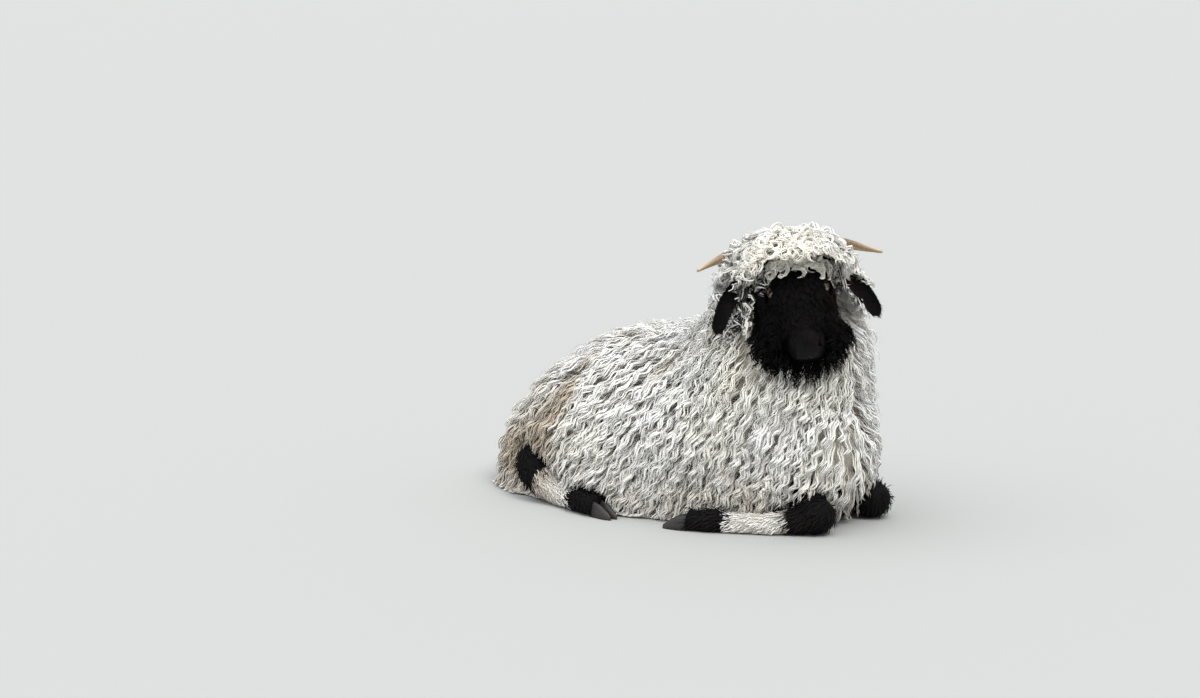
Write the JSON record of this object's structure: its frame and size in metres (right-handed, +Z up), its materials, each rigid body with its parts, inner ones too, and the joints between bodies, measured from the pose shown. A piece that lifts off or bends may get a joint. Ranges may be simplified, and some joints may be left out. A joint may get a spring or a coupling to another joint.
{
  "type": "valais blacknose sheep",
  "caption": "Grown ewe of a long-woolled mountain sheep lying down, with a black face, drooping black ears, slim horns and curly white fleece.",
  "frame": {"origin": "on the floor under the middle of the barrel", "axes": "+X towards the chest along the body, +Y to the sheep's left, +Z up; the head is turned 50 degrees to the sheep's right"},
  "size_m": [1.078, 0.5798, 0.6932],
  "materials": {
    "fleece": "matt curly wool",
    "black_wool": "matt short wool",
    "horn": "satin horn with growth rings",
    "hoof": "matt dark horn",
    "eye": "wet gloss"
  },
  "bodies": {
    "root": {"crown": "fleece", "ear_left": "black_wool", "ear_right": "black_wool", "eye_left": "eye", "eye_right": "eye", "face": "black_wool", "fore_cannon_left": "fleece", "fore_cannon_right": "fleece", "fore_claw_inner_left": "hoof", "fore_claw_inner_right": "hoof", "fore_claw_outer_left": "hoof", "fore_claw_outer_right": "hoof", "fore_foot_left": "black_wool", "fore_foot_right": "black_wool", "fore_knee_left": "black_wool", "fore_knee_right": "black_wool", "haunch_left": "fleece", "haunch_right": "fleece", "hind_cannon_left": "fleece", "hind_cannon_right": "fleece", "hind_claw_inner_left": "hoof", "hind_claw_inner_right": "hoof", "hind_claw_outer_left": "hoof", "hind_claw_outer_right": "hoof", "hind_foot_left": "black_wool", "hind_foot_right": "black_wool", "hind_hock_left": "black_wool", "hind_hock_right": "black_wool", "horn_left": "horn", "horn_right": "horn", "neck": "fleece", "tail": "fleece", "torso": "fleece"}
  },
  "joints": []
}
